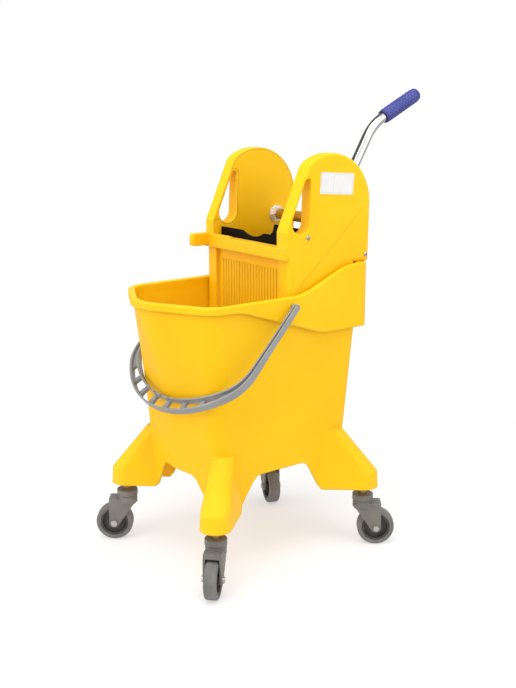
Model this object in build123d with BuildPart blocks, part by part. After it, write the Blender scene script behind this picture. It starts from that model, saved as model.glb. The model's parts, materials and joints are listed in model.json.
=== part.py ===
from build123d import *
import os
from math import acos, atan2, cos, degrees, hypot, pi, radians, sin, tan

os.makedirs("parts", exist_ok=True)

# Millimetres. X runs across the trolley, Y from the front to the rear, Z up from the floor.
# The origin is on the floor, at the middle of the four castor stems.

# Fits and gaps
running_gap = 0.06
face_gap = 0.3
panel_seam = 0.2
shaft_clear = 0.6

# Castors
castor_half_track = 157.0
castor_half_base = 183.0
castor_trail = 27.0
wheel_diameter = 75.0
wheel_width = 24.0
tread_depth = 9.0
tread_round = 4.0
hub_web = 8.0
hub_lip = 4.5
hub_boss_radius = 9.5
axle_radius = 4.0
axle_head_radius = 6.5
axle_head_height = 4.0
wheel_side_gap = 1.5
fork_plate = 4.0
fork_eye_radius = 10.0
fork_crown = 9.0
fork_ring_radius = 20.0
fork_ring_height = 6.5
wheel_crown_gap = 5.0
stem_radius = 8.0
stem_head_radius = 11.0
stem_head_height = 4.0
stem_depth = 44.0
cup_radius = 21.0
cup_height = 11.5
stem_show = 16.5
cup_round = 1.2
fork_round = 3.0
fork_nose = 18.0
axle_end = 1.0
hub_draft = 1.0

# Compass bearing of each castor's trail, in degrees from +X towards +Y
castor_bearings = {
    "front_left": 232.3,
    "front_right": 313.0,
    "rear_right": 52.3,
    "rear_left": 338.3,
}

# Bucket: heights above its feet, the waist below its top, plan sizes at its feet, waist and top
bucket_wall = 4.0
body_height = 388.2
floor_height = 81.2
waist_drop = 178.0
arch_height = 66.2
base_half_width = 118.0
base_rear_y = 159.0
base_side_front_y = -147.0
base_nose_y = -153.0
waist_nose_y = -183.5
top_half_width = 139.0
top_rear_y = 184.5
top_side_front_y = -170.0
top_nose_y = -245.0
nose_round = 84.0
rear_corner = 24.0
base_front_corner = 28.0
top_front_corner = 49.0
side_arch_half = 88.0
side_arch_foot = 14.0
end_arch_half = 78.0
end_arch_foot = 18.0
arch_round = 26.0

# Rim and the deep collar that carries the wringer: heights from the body's top
rim_rise = 20.0
skirt_rise = 6.0
rim_overhang = 8.0
rim_rear_overhang = 20.5
rim_plate = 5.0
collar_rise = 47.0
collar_drop = 58.0
collar_rise_y = 32.0
collar_high_y = 142.0
collar_fall_y = -116.0
collar_deep_y = 78.0
collar_sweep = 130.0
rim_round = 2.5
rim_lap = 1.0
ledge_width = 24.0
ledge_depth = 12.0
ledge_front_y = 30.0
ledge_rear_y = 150.0

# Legs: heights above their feet
leg_foot_radius = 30.0
leg_knee_height = 32.2
leg_knee_radius = 28.0
leg_shoulder_height = 122.0
leg_shoulder_radius = 21.5
leg_shoulder_back = 66.3
leg_reach = 90.0
leg_wall = 4.0
socket_radius = 15.0

# Bail handle, drawn in the plane that droops from its pins
bail_pivot_y = 3.0
bail_pivot_rise = 3.0
bail_droop = 42.0
bail_side_gap = 6.0
bail_arm_width = 10.0
bail_splay = 26.0
bail_corner_reach = 190.0
bail_reach = 287.0
bail_grip_width = 28.0
bail_corner = 75.0
bail_corner_draw = 1.4
bail_end = 5.3
bail_arm_height = 10.0
bail_arm_length = 90.0
bail_grip_height = 13.0
bail_grip_start = 170.0
bail_rim = 3.6
bail_windows = 7
bail_window_pitch = 46.0
bail_window_length = 36.0
bail_window_round = 5.0
bail_notches = 5
bail_notch_pitch = 23.0
bail_notch_radius = 6.0
bail_notch_depth = 3.0
bail_pin_radius = 3.6
bail_pin_proud = 2.0

# Wringer: heights above its base, which hangs a little below the body's top
wringer_sink = 7.0
wringer_side_gap = 5.0
side_box = 28.0
wringer_wall = 4.0
panel_thick = 3.5
panel_skin = 0.8
wringer_rear_gap = 8.5
front_set_back = 6.0
front_panel_y = 14.0
front_panel_thick = 3.0
apron_drop = 50.0
apron_depth = 22.0
band_low = 92.0
band_height = 23.0
band_raise = 4.0
band_proud = 3.0
band_raise_end_x = -44.0
lug_length = 41.0
lug_thick = 16.0
lug_round = 6.0
lug_rise = 3.0
ear_kink = 145.0
ear_front_lean = 24.2
ear_front_length = 131.8
ear_front_round = 34.0
ear_top_y = 113.0
ear_top = 285.0
ear_rear_y = 211.0
ear_rear = 187.0
ear_rear_lean = 2.0
ear_round = 6.0
hand_hole_round = 3.0
box_lip_round = 1.5
hole_low_y = 37.2
hole_low_height = 159.5
hole_low_radius = 21.0
hole_high_y = 54.0
hole_high_height = 233.8
hole_high_radius = 6.5
groove_width = 3.6
groove_pitch = 9.0
groove_count = 20
groove_depth = 1.2
groove_foot = 16.0
groove_top = 70.0
drain_radius = 6.0
drain_pitch = 30.0
drain_columns = 6
drain_rows = 4
ridge_proud = 1.2
ridge_corners = ((24.0, 109.0), (117.0, 190.0), (196.0, 185.0), (21.0, 30.0))
ridge_crest_corners = ((34.6, 118.2), (86.8, 163.7), (166.1, 158.5), (31.5, 39.3))

# Press shaft, plate and lever
shaft_y = 160.0
shaft_height = 148.0
shaft_radius = 11.0
bush_wall = 3.0
collar_flange = 3.0
collar_flange_proud = 6.0
collar_nut = 11.0
collar_nut_proud = 4.5
press_tilt = 10.0
press_side_gap = 10.0
press_floor_gap = 18.0
press_top = 24.0
press_thick = 5.0
press_round = 6.0
press_ribs = 6
press_rib_pitch = 15.0
press_rib_width = 6.0
press_rib_height = 3.0
press_arm_thick = 12.0
press_arm_length = 44.0
press_hub_wall = 6.0
press_hub_width = 18.0
press_hub_gap = 2.5
press_far_hub_x = 17.0
lever_x = 67.0
lever_lean = 31.0
lever_end_lean = 64.0
lever_radius = 10.0
lever_wall = 1.5
lever_straight = 185.0
lever_bend = 100.0
hub_wall = 8.0
hub_width = 27.0
socket_wall = 4.0
socket_length = 66.0
socket_screw = 52.0
grip_length = 102.0
grip_wall = 4.5
grip_start = 3.0
grip_end = 5.0
grip_round = 6.0

# Strainer plate: heights above the wringer's base
strainer_y = 19.0
strainer_thick = 4.0
strainer_top = 132.0
strainer_dip = 9.0
strainer_dip_x = 4.0
strainer_dip_half = 34.0
strainer_post = 153.0
strainer_post_foot = 42.0
strainer_post_bend = 33.0
strainer_post_bend_rise = 7.0
strainer_post_width = 29.0
strainer_post_rear_y = 62.0
strainer_ribs = 8
strainer_rib_pitch = 24.0
strainer_hole = 10.0
strainer_hole_low = 11.0
strainer_hole_height = 61.0

# Screws that hold the side boxes together
screw_places = ((52.7, 131.0), (200.0, 87.0))
screw_radius = 2.4
screw_head_radius = 4.6
screw_head_height = 2.4
screw_boss_radius = 7.0


from_base = (Align.CENTER, Align.CENTER, Align.MIN)


def block(corner, opposite, mode=Mode.ADD):
    """Box between two opposite corners."""
    with Locations(tuple((a + b) / 2 for a, b in zip(corner, opposite))):
        Box(*[abs(b - a) for a, b in zip(corner, opposite)], mode=mode)


def castor_places():
    """Names, stem points and trail bearings of the four castors."""
    for name, bearing in castor_bearings.items():
        side = 1 if "right" in name else -1
        end = 1 if "rear" in name else -1
        yield name, (side * castor_half_track, end * castor_half_base), bearing


# Levels of the castor, from the floor up
wheel_radius = wheel_diameter / 2
hub_radius = wheel_radius - tread_depth
crown_low_z = wheel_diameter + wheel_crown_gap
ring_low_z = crown_low_z + fork_crown
ring_top_z = ring_low_z + fork_ring_height
cup_low_z = ring_top_z + face_gap
cup_top_z = cup_low_z + cup_height
foot_z = cup_top_z + stem_show
fork_gap = wheel_width + 2 * wheel_side_gap
fork_half = fork_gap / 2 + fork_plate

# Levels of the bucket and its rim
arch_top_z = foot_z + arch_height
floor_z = foot_z + floor_height
body_top_z = foot_z + body_height
waist_z = body_top_z - waist_drop
leg_knee_z = foot_z + leg_knee_height
leg_shoulder_z = foot_z + leg_shoulder_height
rim_z = body_top_z + rim_rise
rim_low_z = body_top_z + skirt_rise
collar_top_z = rim_z + collar_rise
collar_low_z = body_top_z - collar_drop
rim_half_width = top_half_width + rim_overhang
bail_pivot_z = body_top_z + bail_pivot_rise
bail_pin_end = rim_half_width - bucket_wall - bail_pin_proud
rim_rear_y = top_rear_y + rim_rear_overhang

# Levels of the wringer, from its base up
wringer_base_z = body_top_z - wringer_sink
wringer_half_width = top_half_width - bucket_wall - wringer_side_gap
wringer_rear_y = top_rear_y - bucket_wall - wringer_rear_gap
band_low_z = wringer_base_z + band_low
band_top_z = band_low_z + band_height
apron_low_z = wringer_base_z - apron_drop
apron_rear_y = front_set_back + apron_depth
groove_low_z = apron_low_z + groove_foot
groove_top_z = wringer_base_z + groove_top
shaft_z = wringer_base_z + shaft_height
strainer_top_z = wringer_base_z + strainer_top
strainer_post_z = wringer_base_z + strainer_post


def lean(place, angle, distance):
    """Side-view place at a distance along a line that leans back from upright by the angle."""
    return place[0] + distance * sin(radians(angle)), place[1] + distance * cos(radians(angle))


def on_wringer(places):
    """Side-view places whose heights are given above the wringer's base."""
    return [(y, wringer_base_z + height) for y, height in places]


def span(z, base_value, top_value):
    """A bucket size at height z, on the straight taper from the feet to the rim."""
    return base_value + (top_value - base_value) * (z - foot_z) / (body_top_z - foot_z)


def plan_outline(z, half_width, side_front_y, nose_y, rear_y, front_corner, inset):
    """Plan of the bucket at one height: straight sides and rear, rounded nose, drawn in by the inset."""
    slope = atan2(side_front_y - nose_y, half_width)
    front_y = side_front_y + inset * (1 - sin(slope)) / cos(slope)
    half = half_width - inset
    with BuildSketch(Plane.XY.offset(z)) as plan:
        with BuildLine():
            Polyline(
                (-half, front_y),
                (-half, rear_y - inset),
                (half, rear_y - inset),
                (half, front_y),
                (0, nose_y + inset / cos(slope)),
                close=True,
            )
        make_face()
        fillet(plan.vertices().group_by(Axis.Y)[1], front_corner - inset)
        fillet(plan.vertices().group_by(Axis.Y)[-1], rear_corner - inset)
        fillet(plan.vertices().group_by(Axis.Y)[0], nose_round - inset)
    return plan.sketch


def nose(z):
    """How far the bucket's front reaches at height z: slight taper to the waist, then the pouring lip."""
    if z < waist_z:
        return waist_nose_y + (base_nose_y - waist_nose_y) * (waist_z - z) / (waist_z - foot_z)
    return waist_nose_y + (top_nose_y - waist_nose_y) * (z - waist_z) / (body_top_z - waist_z)


def body_outline(z, inset=0.0):
    """Plan of the tapered body at height z, drawn in by the inset."""
    return plan_outline(
        z,
        span(z, base_half_width, top_half_width),
        span(z, base_side_front_y, top_side_front_y),
        nose(z),
        span(z, base_rear_y, top_rear_y),
        span(z, base_front_corner, top_front_corner),
        inset,
    )


def rim_outline(z, inset=0.0):
    """Plan of the rim's outer face, drawn in by the inset."""
    return plan_outline(
        z,
        top_half_width,
        top_side_front_y,
        top_nose_y,
        rim_rear_y - rim_overhang,
        top_front_corner,
        inset - rim_overhang,
    )


def neck_outline(z, inset=0.0):
    """Plan of the upright wall between the body's top and the rim, drawn in by the inset."""
    return plan_outline(
        z,
        top_half_width,
        top_side_front_y,
        top_nose_y,
        top_rear_y,
        top_front_corner,
        inset,
    )


profile_margin = 20.0
profile_front_y = top_nose_y - rim_overhang - profile_margin
profile_rear_y = rim_rear_y + profile_margin
profile_half_width = rim_half_width + profile_margin


def rim_top_line(drop):
    """Points of the rim's top edge seen from the side, lowered by drop."""
    return [
        (profile_front_y, rim_z - drop),
        (collar_rise_y, rim_z - drop),
        (collar_high_y, collar_top_z - drop),
        (profile_rear_y, collar_top_z - drop),
    ]


def rim_low_line():
    """Points of the rim's lower edge seen from the side."""
    return [
        (profile_front_y, rim_low_z),
        (collar_fall_y, rim_low_z),
        (collar_deep_y, collar_low_z),
        (profile_rear_y, collar_low_z),
    ]


def between_lines(upper, lower):
    """Solid across the whole width between two side-view lines."""
    with BuildPart() as slab:
        with BuildSketch(Plane.YZ):
            with BuildLine():
                top = FilletPolyline(*upper, radius=collar_sweep)
                low = FilletPolyline(*lower, radius=collar_sweep)
                Line(top @ 0, low @ 0)
                Line(top @ 1, low @ 1)
            make_face()
        extrude(amount=profile_half_width, both=True)
    return slab.part


def rim_ring(outer, inner, upper, lower):
    """Upright ring between two plans, trimmed to the rim's side view."""
    with BuildPart() as ring:
        extrude(outer, amount=rim_height)
        extrude(inner, amount=rim_height, mode=Mode.SUBTRACT)
        add(between_lines(upper, lower), mode=Mode.INTERSECT)
    return ring.part


rim_start_z = collar_low_z - profile_margin
rim_height = collar_top_z - rim_start_z + profile_margin


def leg_section(z, stem, reach_out, radius):
    """Plan of a leg at one height: a slot that points from the body to the castor stem."""
    bearing = atan2(stem[1], stem[0])
    middle = reach_out - leg_reach / 2
    at = (stem[0] + middle * cos(bearing), stem[1] + middle * sin(bearing), z)
    with BuildSketch(Plane(origin=at, x_dir=(cos(bearing), sin(bearing), 0))) as section:
        SlotCenterToCenter(leg_reach, 2 * radius)
    return section.sketch


def leg(stem, inset=0.0):
    """One flared leg, or with an inset the hollow inside it."""
    with BuildPart() as flare:
        loft(
            [
                leg_section(foot_z - inset, stem, 0, leg_foot_radius - inset),
                leg_section(leg_knee_z - inset, stem, 0, leg_knee_radius - inset),
                leg_section(leg_shoulder_z - inset, stem, -leg_shoulder_back, leg_shoulder_radius - inset),
            ],
            ruled=True,
        )
    return flare.part


def leg_hollow(stem):
    """The open underside of a leg, around the socket for the castor stem."""
    with BuildPart() as hollow:
        add(leg(stem, leg_wall))
        with Locations((*stem, foot_z)):
            Cylinder(socket_radius, leg_shoulder_z, mode=Mode.SUBTRACT)
        with Locations((*stem, floor_z)):
            Cylinder(2 * leg_reach, leg_shoulder_z, align=from_base, mode=Mode.SUBTRACT)
    return hollow.part


def arch(plane, half, foot):
    """Arched gap between two legs, cut right through the body."""
    with BuildPart() as gap:
        with BuildSketch(plane) as opening:
            with BuildLine():
                Polyline(
                    (-half - foot, foot_z - 1),
                    (-half + arch_round, arch_top_z),
                    (half - arch_round, arch_top_z),
                    (half + foot, foot_z - 1),
                    close=True,
                )
            make_face()
            fillet(opening.vertices().group_by(Axis.Y)[-1], arch_round)
        extrude(amount=2 * castor_half_base, both=True)
    return gap.part


rim_skirt = rim_ring(
    rim_outline(rim_start_z),
    rim_outline(rim_start_z, bucket_wall),
    rim_top_line(rim_plate - rim_lap),
    rim_low_line(),
)
rim_neck = rim_ring(
    neck_outline(body_top_z),
    neck_outline(body_top_z, bucket_wall),
    rim_top_line(rim_plate - rim_lap),
    rim_top_line(rim_height),
)
with BuildPart() as flange:
    add(
        rim_ring(
            rim_outline(rim_start_z),
            neck_outline(rim_start_z, bucket_wall),
            rim_top_line(0),
            rim_top_line(rim_plate),
        )
    )
    top_faces = flange.faces().filter_by(lambda face: face.normal_at().Z > 0.5)
    fillet(top_faces.edges().filter_by(Axis.X, reverse=True), rim_round)
rim_flange = flange.part

# Bucket: tapered body, bowed front, inverted-channel rim, deep rear collar and four hollow legs
stems = [stem for name, stem, bearing in castor_places()]
with BuildPart() as bucket_body:
    loft([body_outline(z) for z in (foot_z, waist_z, body_top_z)], ruled=True)
    for stem in stems:
        add(leg(stem))
    loft(
        [body_outline(z, bucket_wall) for z in (floor_z + bucket_wall, waist_z, body_top_z)],
        ruled=True,
        mode=Mode.SUBTRACT,
    )
    loft(
        [body_outline(foot_z, bucket_wall), body_outline(floor_z, bucket_wall)],
        ruled=True,
        mode=Mode.SUBTRACT,
    )
    add(arch(Plane.YZ, side_arch_half, side_arch_foot), mode=Mode.SUBTRACT)
    add(arch(Plane.XZ, end_arch_half, end_arch_foot), mode=Mode.SUBTRACT)
    for stem in stems:
        add(leg_hollow(stem), mode=Mode.SUBTRACT)
    with Locations(*[(*stem, foot_z) for stem in stems]):
        Cylinder(
            stem_radius + running_gap,
            stem_depth,
            align=from_base,
            mode=Mode.SUBTRACT,
        )
    add(rim_skirt)
    add(rim_neck)
    add(rim_flange)
    for side in (-1, 1):
        block(
            (side * (top_half_width - bucket_wall / 2), ledge_front_y, wringer_base_z - ledge_depth),
            (side * (top_half_width - ledge_width), ledge_rear_y, wringer_base_z),
        )
    for side in (-1, 1):
        with BuildSketch(Plane.YZ.offset(side * bail_pin_end)):
            with Locations((bail_pivot_y, bail_pivot_z)):
                Circle(bail_pin_radius + running_gap)
        extrude(amount=side * profile_margin, mode=Mode.SUBTRACT)
bucket_body.part.label = "bucket_body"
export_step(bucket_body.part, "parts/bucket_body.step")


def castor_planes(stem, bearing):
    """Level plane and side plane of one castor, with x along its trail."""
    trail = Vector(cos(radians(bearing)), sin(radians(bearing)), 0)
    across = Vector(0, 0, 1).cross(trail)
    level = Plane(origin=(*stem, 0), x_dir=trail)
    side = Plane(origin=(*stem, 0), x_dir=trail, z_dir=-across)
    return level, side


def disc(plane, z, radius, height, mode=Mode.ADD):
    """Round plate that stands on a level plane at height z."""
    with BuildSketch(plane.offset(z)) as outline:
        Circle(radius)
    extrude(outline.sketch, amount=height, mode=mode)


def castor_stem(level):
    """Steel stem: head under the fork's crown, shank up into the leg."""
    head_top_z = crown_low_z - face_gap
    with BuildPart() as stem:
        disc(level, head_top_z - stem_head_height, stem_head_radius, stem_head_height)
        disc(level, head_top_z, stem_radius, foot_z + stem_depth - face_gap - head_top_z)
    return stem.part


def castor_cup(level):
    """Bearing cup on the stem, above the fork's ring."""
    with BuildPart() as cup:
        disc(level, cup_low_z, cup_radius, cup_height)
        fillet(cup.edges().group_by(Axis.Z)[-1], cup_round)
        disc(level, cup_low_z, stem_radius + running_gap, cup_height, Mode.SUBTRACT)
    return cup.part


def castor_fork(level, side):
    """Swivel fork: round top, crown and two tapered side plates."""
    tail = castor_trail + fork_eye_radius
    with BuildPart() as fork:
        disc(level, crown_low_z, fork_ring_radius, fork_crown + fork_ring_height)
        fillet(fork.edges().group_by(Axis.Z)[-1], fork_round)
        with BuildSketch(level.offset(crown_low_z)):
            with Locations(((tail - fork_nose) / 2, 0)):
                RectangleRounded(tail + fork_nose, 2 * fork_half, fork_round)
        extrude(amount=fork_crown)
        for face in (-1, 1):
            with BuildSketch(side.offset(face * fork_gap / 2)):
                with BuildLine():
                    CenterArc((castor_trail, wheel_radius), fork_eye_radius, 0, 360)
                    Line((-fork_nose + fork_round, crown_low_z), (tail, crown_low_z))
                make_hull()
            extrude(amount=face * fork_plate)
        disc(level, crown_low_z, stem_radius + running_gap, fork_crown + fork_ring_height, Mode.SUBTRACT)
        with BuildSketch(side):
            with Locations((castor_trail, wheel_radius)):
                Circle(axle_radius + running_gap)
        extrude(amount=fork_half, both=True, mode=Mode.SUBTRACT)
    return fork.part


def castor_axle(side):
    """Axle bolt through both side plates, with a round head."""
    with BuildPart() as axle:
        with BuildSketch(side.offset(-fork_half - axle_head_height)):
            with Locations((castor_trail, wheel_radius)):
                Circle(axle_radius)
        extrude(amount=2 * fork_half + 2 * axle_head_height + axle_end)
        with BuildSketch(side.offset(-fork_half)):
            with Locations((castor_trail, wheel_radius)):
                Circle(axle_head_radius)
        extrude(amount=-axle_head_height)
    return axle.part


def castor_nut(side):
    """Hexagon nut on the axle's end."""
    with BuildPart() as nut:
        with BuildSketch(side.offset(fork_half)):
            with Locations((castor_trail, wheel_radius)):
                RegularPolygon(axle_head_radius, 6)
                Circle(axle_radius + running_gap, mode=Mode.SUBTRACT)
        extrude(amount=axle_head_height)
    return nut.part


def wheel_section(side):
    """Plane through the axle, with x along the axle and y up, and the axle's line."""
    centre = side.from_local_coords((castor_trail, wheel_radius, 0))
    return Plane(origin=centre, x_dir=-side.z_dir, z_dir=side.x_dir), Axis(centre, side.z_dir)


def castor_hub(side):
    """Wheel centre: boss, thin web and a rim under the tread."""
    section, axle_line = wheel_section(side)
    half = wheel_width / 2
    lip_radius = hub_radius - hub_lip
    right = [
        (half, axle_radius + running_gap),
        (half, hub_boss_radius),
        (hub_web / 2, hub_boss_radius + hub_draft),
        (hub_web / 2, lip_radius - hub_draft),
        (half - hub_draft, lip_radius),
        (half - hub_draft, hub_radius),
    ]
    left = [(-x, radius) for x, radius in reversed(right)]
    with BuildPart() as hub:
        with BuildSketch(section):
            with BuildLine():
                Polyline(*right, *left, close=True)
            make_face()
        revolve(axis=axle_line)
    return hub.part


def castor_tyre(side):
    """Rounded tread around the wheel centre."""
    section, axle_line = wheel_section(side)
    with BuildPart() as tyre:
        with BuildSketch(section) as tread:
            with Locations((0, wheel_radius)):
                Rectangle(wheel_width, tread_depth - running_gap, align=(Align.CENTER, Align.MAX))
            fillet(tread.vertices().group_by(Axis.Y)[-1], tread_round)
        revolve(axis=axle_line)
    return tyre.part


# Castors: stem and cup stay with the bucket, fork swivels, wheel turns on the axle
for name, stem, bearing in castor_places():
    level, side = castor_planes(stem, bearing)
    pieces = {
        "stem": castor_stem(level),
        "cup": castor_cup(level),
        "fork": castor_fork(level, side),
        "axle": castor_axle(side),
        "nut": castor_nut(side),
        "hub": castor_hub(side),
        "tyre": castor_tyre(side),
    }
    for piece, part in pieces.items():
        part.label = f"castor_{piece}_{name}"
        export_step(part, f"parts/{part.label}.step")


bail_arm_half = rim_half_width + bail_side_gap + bail_arm_width
bail_corner_half = bail_arm_half + bail_splay


def bail_outline(half, corner_half, corner_reach, reach, corner):
    """Half-moon outline of the bail in its own plane, from behind the pins to the grip."""
    with BuildSketch(bail_plane) as outline:
        with BuildLine():
            arms = Polyline(
                (-corner_half, corner_reach),
                (-half, -bail_end),
                (half, -bail_end),
                (corner_half, corner_reach),
            )
            ThreePointArc(arms @ 1, (0, reach), arms @ 0)
        make_face()
        fillet(outline.vertices().group_by(Axis.Y)[-1], corner)
    return outline.sketch_local


# Bail handle: two splayed channel arms and a broad pierced grip, on two stub pins
bail_plane = Plane(
    origin=(0, bail_pivot_y, bail_pivot_z),
    x_dir=(1, 0, 0),
    z_dir=(0, sin(radians(bail_droop)), -cos(radians(bail_droop))),
)
bail_side = Plane(origin=bail_plane.origin, x_dir=bail_plane.y_dir, z_dir=(1, 0, 0))
bail_bow_radius = (bail_corner_half**2 + (bail_reach - bail_corner_reach) ** 2) / (
    2 * (bail_reach - bail_corner_reach)
)
bail_bow_y = bail_reach - bail_bow_radius
grip_middle = bail_bow_radius - bail_grip_width / 2
grip_inner = bail_bow_radius - bail_grip_width


def bail_band(rim):
    """The bail's band between its outer and inner outlines, both drawn in by the rim."""
    inner_corner = bail_corner_half - bail_arm_width * bail_corner_draw
    with BuildSketch(bail_plane) as band:
        add(
            bail_outline(
                bail_arm_half - rim,
                bail_corner_half - rim,
                bail_corner_reach - rim,
                bail_reach - rim,
                bail_corner - rim,
            )
        )
        add(
            bail_outline(
                bail_arm_half - bail_arm_width + rim,
                inner_corner + rim,
                bail_corner_reach - bail_arm_width + rim,
                bail_reach - bail_grip_width + rim,
                bail_corner - bail_arm_width + rim,
            ),
            mode=Mode.SUBTRACT,
        )
    return band


def bail_profile():
    """Side view of the bail: slim arms that thicken towards the grip."""
    arm = bail_arm_height / 2
    grip = bail_grip_height / 2
    far = 2 * bail_reach
    with BuildPart() as profile:
        with BuildSketch(bail_side):
            Circle(bail_end)
            with BuildLine():
                Polyline(
                    (0, -arm),
                    (bail_arm_length, -arm),
                    (bail_grip_start, -grip),
                    (far, -grip),
                    (far, grip),
                    (bail_grip_start, grip),
                    (bail_arm_length, arm),
                    (0, arm),
                    close=True,
                )
            make_face()
        extrude(amount=2 * bail_corner_half, both=True)
    return profile.part


with BuildPart() as bail_handle:
    extrude(bail_band(0).sketch, amount=bail_grip_height, both=True)
    add(bail_profile(), mode=Mode.INTERSECT)
    extrude(bail_band(bail_rim).sketch, amount=-bail_grip_height, mode=Mode.SUBTRACT)
    with BuildSketch(bail_plane):
        with Locations((0, bail_bow_y)):
            with PolarLocations(
                grip_middle,
                bail_windows,
                90 - degrees(bail_window_pitch / grip_middle) * (bail_windows - 1) / 2,
                degrees(bail_window_pitch / grip_middle) * bail_windows,
            ):
                RectangleRounded(bail_grip_width - 2 * bail_rim, bail_window_length, bail_window_round)
        add(bail_band(bail_rim).sketch_local, mode=Mode.INTERSECT)
    extrude(amount=bail_grip_height, both=True, mode=Mode.SUBTRACT)
    with BuildSketch(bail_plane):
        with Locations((0, bail_bow_y)):
            with PolarLocations(
                grip_inner + bail_notch_depth - bail_notch_radius,
                bail_notches,
                90 - degrees(bail_notch_pitch / grip_inner) * (bail_notches - 1) / 2,
                degrees(bail_notch_pitch / grip_inner) * bail_notches,
            ):
                Circle(bail_notch_radius)
    extrude(amount=bail_grip_height, both=True, mode=Mode.SUBTRACT)
    with BuildSketch(bail_side.offset(bail_pin_end)):
        Circle(bail_pin_radius)
    extrude(amount=bail_arm_half - bail_arm_width / 2 - bail_pin_end)
    with BuildSketch(bail_side.offset(-bail_pin_end)):
        Circle(bail_pin_radius)
    extrude(amount=bail_pin_end - bail_arm_half + bail_arm_width / 2)
bail_handle.part.label = "bail_handle"
export_step(bail_handle.part, "parts/bail_handle.step")

# Levels across the wringer, from its middle outwards
box_screws = on_wringer(screw_places)
box_inner_x = wringer_half_width - side_box
plate_inner_x = wringer_half_width - wringer_wall
panel_outer_x = box_inner_x + panel_thick


def ear_outline(x, inset=0.0):
    """Side view of a wringer box at x: leaning ear, lower part and front apron, drawn in by the inset."""
    kink = (0, wringer_base_z + ear_kink)
    with BuildSketch(Plane.YZ.offset(x)) as outline:
        with BuildLine():
            front = Line(kink, lean(kink, ear_front_lean, ear_front_length))
            crown = ThreePointArc(front @ 1, *on_wringer([(ear_top_y, ear_top), (ear_rear_y, ear_rear)]))
            Polyline(crown @ 1, (ear_rear_y - ear_rear_lean, collar_top_z), (0, collar_top_z), kink)
        make_face()
        fillet(outline.vertices().sort_by(Axis.Y)[-1], ear_front_round)
        with Locations((0, wringer_base_z)):
            Rectangle(wringer_rear_y, collar_top_z - wringer_base_z, align=(Align.MIN, Align.MIN))
        with Locations((front_set_back, apron_low_z)):
            Rectangle(apron_depth, collar_top_z - apron_low_z, align=(Align.MIN, Align.MIN))
        with Locations((0, apron_low_z)):
            Rectangle(
                front_set_back,
                band_low_z - apron_low_z,
                align=(Align.MIN, Align.MIN),
                mode=Mode.SUBTRACT,
            )
        if inset:
            offset(amount=-inset, kind=Kind.INTERSECTION)
    return outline


hole_low, hole_high = on_wringer([(hole_low_y, hole_low_height), (hole_high_y, hole_high_height)])


def swing(place, radius, angle):
    """Side-view place on a circle about another place."""
    return place[0] + radius * cos(angle), place[1] + radius * sin(angle)


def hand_hole(x, margin=0.0):
    """Tear-drop hole through an ear at x, grown by the margin."""
    rise, run = hole_high[1] - hole_low[1], hole_high[0] - hole_low[0]
    bearing = atan2(rise, run)
    spread = acos((hole_low_radius - hole_high_radius) / hypot(rise, run))
    tip_turns = (bearing + spread, bearing, bearing - spread)
    heel_turns = (bearing - spread, bearing + pi, bearing + spread)
    with BuildSketch(Plane.YZ.offset(x)) as hole:
        with BuildLine():
            tip = ThreePointArc(*[swing(hole_high, hole_high_radius + margin, turn) for turn in tip_turns])
            heel = ThreePointArc(*[swing(hole_low, hole_low_radius + margin, turn) for turn in heel_turns])
            Line(tip @ 1, heel @ 0)
            Line(heel @ 1, tip @ 0)
        make_face()
    return hole


def inner_outline(x, inset):
    """The space inside a side box at x: its outline drawn in, clear of the hand hole and its post."""
    post_low_z = hole_low[1] - hole_low_radius / 2 - inset
    post_top_z = hole_high[1] + inset
    with BuildSketch(Plane.YZ.offset(x)) as space:
        add(ear_outline(x, inset).sketch_local)
        add(hand_hole(x, inset).sketch_local, mode=Mode.SUBTRACT)
        with BuildLine():
            Polyline(
                (0, post_low_z),
                (hole_low_y, post_low_z),
                (hole_high_y, post_top_z),
                (0, post_top_z),
                close=True,
            )
        make_face(mode=Mode.SUBTRACT)
    return space.sketch


def rods(start_x, end_x, places, radius, mode=Mode.ADD):
    """Round bars across the width at the given side-view places."""
    with BuildSketch(Plane.YZ.offset(start_x)) as ends:
        with Locations(*places):
            Circle(radius)
    extrude(ends.sketch, amount=end_x - start_x, mode=mode)


def side_box_shell():
    """Right-hand side box of the wringer, open towards the middle."""
    with BuildPart() as shell:
        extrude(ear_outline(box_inner_x).sketch, amount=side_box)
        fillet(shell.faces().sort_by(Axis.X)[-1].edges(), ear_round)
        extrude(hand_hole(box_inner_x).sketch, amount=side_box, mode=Mode.SUBTRACT)
        fillet(shell.faces().sort_by(Axis.X)[-1].inner_wires()[0].edges(), hand_hole_round)
        fillet(shell.faces().sort_by(Axis.X)[0].edges(), box_lip_round)
        extrude(inner_outline(box_inner_x, wringer_wall), amount=side_box - wringer_wall, mode=Mode.SUBTRACT)
        rods(panel_outer_x, plate_inner_x, box_screws, screw_boss_radius)
        rods(panel_outer_x, plate_inner_x, [shaft_place], bush_radius + wringer_wall)
        rods(panel_outer_x, plate_inner_x, [shaft_place], bush_radius + running_gap, Mode.SUBTRACT)
        rods(panel_outer_x, wringer_half_width, box_screws, screw_radius + running_gap, Mode.SUBTRACT)
        with BuildSketch(Plane.YZ.offset(wringer_half_width)):
            with BuildLine():
                Polyline(*on_wringer(ridge_corners), close=True)
            make_face()
        with BuildSketch(Plane.YZ.offset(wringer_half_width + ridge_proud)):
            with BuildLine():
                Polyline(*on_wringer(ridge_crest_corners), close=True)
            make_face()
        loft(ruled=True)
        rods(
            wringer_half_width,
            wringer_half_width + ridge_proud,
            box_screws,
            screw_head_radius + panel_seam,
            Mode.SUBTRACT,
        )
    return shell.part


def front_lug():
    """Rounded lug that points forwards beside the left ear."""
    with BuildPart() as lug:
        block(
            (-wringer_half_width, -lug_length, band_low_z + lug_rise),
            (-wringer_half_width + lug_thick, wringer_wall, band_top_z + band_raise),
        )
        fillet(lug.faces().sort_by(Axis.Y)[0].edges(), lug_round)
    return lug.part


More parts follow.
